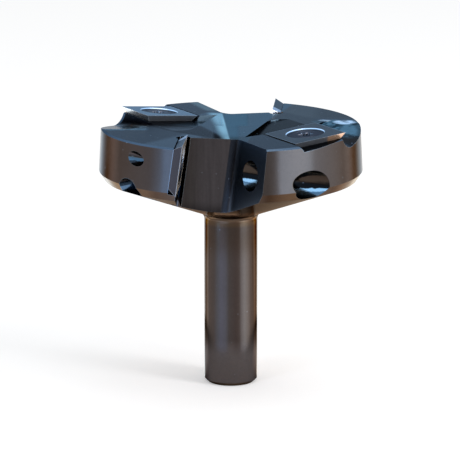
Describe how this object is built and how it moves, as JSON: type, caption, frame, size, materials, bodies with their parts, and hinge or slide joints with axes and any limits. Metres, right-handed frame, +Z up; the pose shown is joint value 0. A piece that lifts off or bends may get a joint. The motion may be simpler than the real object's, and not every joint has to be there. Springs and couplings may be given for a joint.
{
  "type": "fly cutter",
  "caption": "Shanked fly cutter: a notched disc-shaped head on a round shank carries upright main knives and flat-lying spur knives, each held by a countersunk screw.",
  "frame": {"origin": "centre of the shank's lower end face", "axes": "+Z up the cutter's axis from the shank to the knives; +X and +Y as in the picture, with the camera on the -Y side. The cutter turns from +X towards +Y, counter-clockwise seen from the knives."},
  "size_m": [0.0628, 0.0612, 0.0642],
  "materials": {
    "blackened_steel": "black oxide, satin",
    "carbide": "ground",
    "screw_steel": "black oxide"
  },
  "bodies": {
    "root": {"cutter_body": "blackened_steel", "main_knife_1": "carbide", "spur_knife_1": "carbide", "main_knife_screw_1": "screw_steel", "spur_knife_screw_1": "screw_steel", "main_knife_2": "carbide", "spur_knife_2": "carbide", "main_knife_screw_2": "screw_steel", "spur_knife_screw_2": "screw_steel"}
  },
  "joints": []
}
